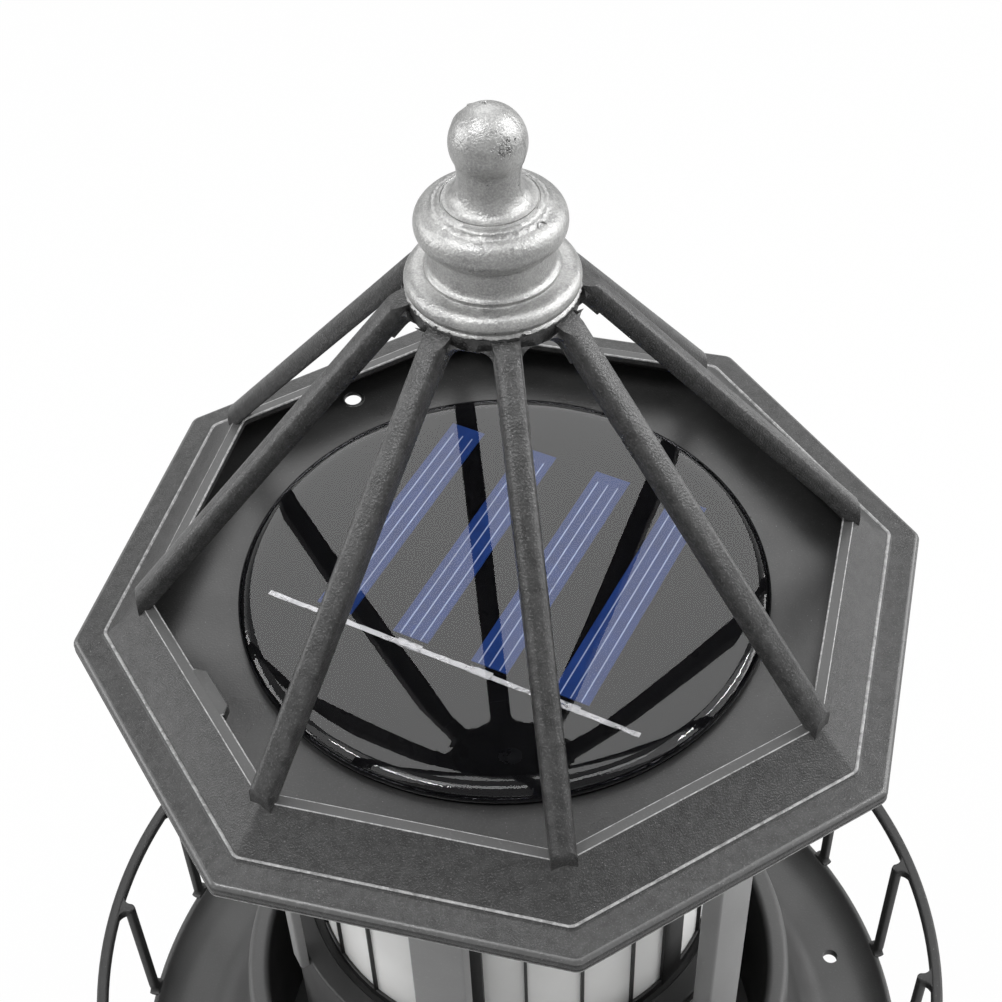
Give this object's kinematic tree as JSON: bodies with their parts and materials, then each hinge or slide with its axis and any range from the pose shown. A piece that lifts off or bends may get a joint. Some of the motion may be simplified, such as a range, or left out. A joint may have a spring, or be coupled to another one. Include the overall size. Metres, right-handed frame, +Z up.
{
  "type": "solar garden lighthouse",
  "caption": "Solar garden lighthouse: round tower with a railed gallery, glazed lantern with a turning beacon, and a lift-off eight-sided cage roof over a solar panel",
  "frame": {"origin": "middle of the footprint, on the plane that the rubber feet rest on", "axes": "+Z up along the tower, -Y towards the door and a corner of the eave, +X to the right seen from the front"},
  "size_m": [0.1948, 0.1948, 0.4],
  "materials": {
    "black_plastic": "fine-grained dark plastic",
    "dark_plastic": "smooth dark plastic",
    "grey_plastic": "smooth grey plastic",
    "silver_paint": "brushed silver paint over plastic",
    "rubber": "matt",
    "steel": "satin",
    "frosted_plastic": "frosted translucent",
    "clear_resin": "clear gloss",
    "panel_black": "gloss",
    "solar_cell": "blue crystalline",
    "tinned_ribbon": "bright",
    "white_plastic": "satin",
    "clear_plastic": "clear gloss",
    "battery_sleeve": "plain shrink sleeve",
    "board_green": "solder mask",
    "lamp_white": "clear lamp body"
  },
  "bodies": {
    "tower": {"foot_pads": "rubber", "bottom_plate": "dark_plastic", "bottom_screws": "steel", "base_plinth": "black_plastic", "tower_wall": "black_plastic", "door_panel": "dark_plastic", "window_panes": "frosted_plastic", "gallery_corbel": "black_plastic", "gallery_deck": "black_plastic", "gallery_rail": "black_plastic", "rail_posts": "black_plastic", "lantern_drum": "dark_plastic", "lantern_frame": "grey_plastic", "lantern_ring": "dark_plastic", "ring_screws": "steel", "glazing_frame": "dark_plastic", "glazing_diffuser": "frosted_plastic", "keying_rib": "grey_plastic"},
    "roof": {"roof_shell": "black_plastic", "roof_floor": "black_plastic", "roof_cage": "black_plastic", "finial": "silver_paint", "finial_screw": "steel", "panel_tray": "panel_black", "solar_cells": "solar_cell", "bus_ribbon": "tinned_ribbon", "panel_cover": "clear_resin", "mechanism_case": "dark_plastic", "case_screws": "steel", "battery_holder": "dark_plastic", "battery_cell": "battery_sleeve", "battery_contacts": "tinned_ribbon", "circuit_board": "board_green", "switch_body": "steel", "motor": "steel", "motor_screws": "steel", "axle_tube": "steel", "axle_clip": "steel", "led_board": "white_plastic", "led_lamps": "lamp_white"},
    "rotor": {"motor_shaft": "steel", "drive_pinion": "white_plastic"},
    "beacon": {"beacon_gear": "white_plastic", "beacon_turntable": "white_plastic", "beacon_housing": "white_plastic", "beacon_lenses": "clear_plastic"},
    "switch": {"switch_slider": "white_plastic"}
  },
  "joints": [
    {"name": "roof_lift", "type": "slide", "parent": "tower", "child": "roof", "axis": [0, 0, 1], "range_m": [0, 0.07]},
    {"name": "beacon_spin", "type": "hinge", "parent": "roof", "child": "beacon", "pos_m": [0, 0, 0.2636], "axis": [0, 0, 1], "continuous": true},
    {"name": "motor_spin", "type": "hinge", "parent": "roof", "child": "rotor", "pos_m": [0.0241, 0, 0.2666], "axis": [0, 0, 1], "continuous": true},
    {"name": "switch_slide", "type": "slide", "parent": "roof", "child": "switch", "axis": [0, 1, 0], "range_m": [0, 0.003]}
  ],
  "couplings": [
    {"joint": "motor_spin", "follows": "beacon_spin", "ratio": -2.2}
  ]
}
